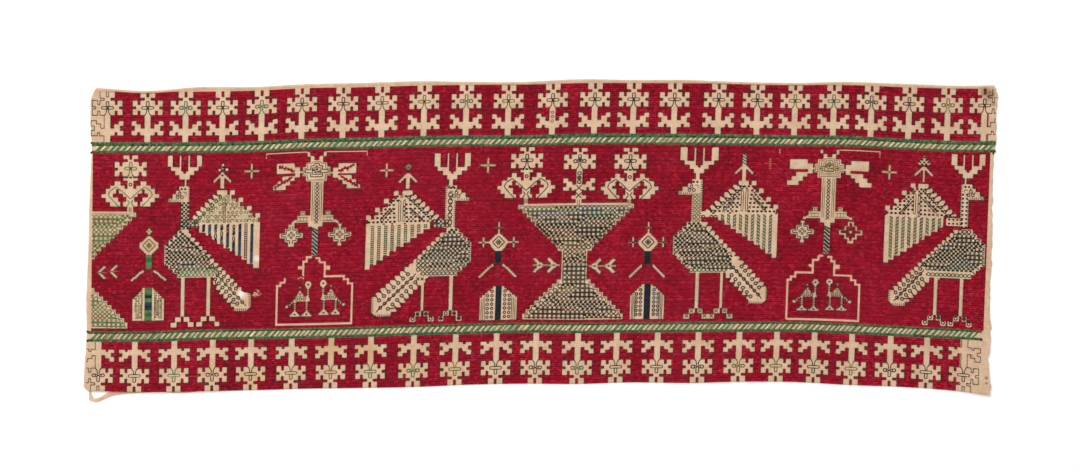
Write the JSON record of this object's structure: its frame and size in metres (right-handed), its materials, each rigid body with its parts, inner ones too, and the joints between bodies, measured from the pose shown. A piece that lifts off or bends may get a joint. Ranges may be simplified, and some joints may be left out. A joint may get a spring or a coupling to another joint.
{
  "type": "silk embroidery panel",
  "caption": "Long flat linen panel with red silk stitching, rope bands, flower borders and a field of birds, trees and an urn, with a loose strip at one corner.",
  "frame": {"origin": "under the centre of the panel, on the surface that it lies on", "axes": "+X along the length to the ragged bare edge, +Y up the face towards the turned hem, +Z out of the stitched face"},
  "size_m": [0.9133, 0.3225, 0.0033],
  "materials": {
    "silk_on_linen": "crimson silk in long-armed cross stitch on beige linen, with green, blue and cream stitches, slightly worn",
    "linen_tape": "plain beige linen, soft and creased"
  },
  "bodies": {
    "root": {"linen_panel": "silk_on_linen", "edge_tape": "linen_tape"}
  },
  "joints": []
}
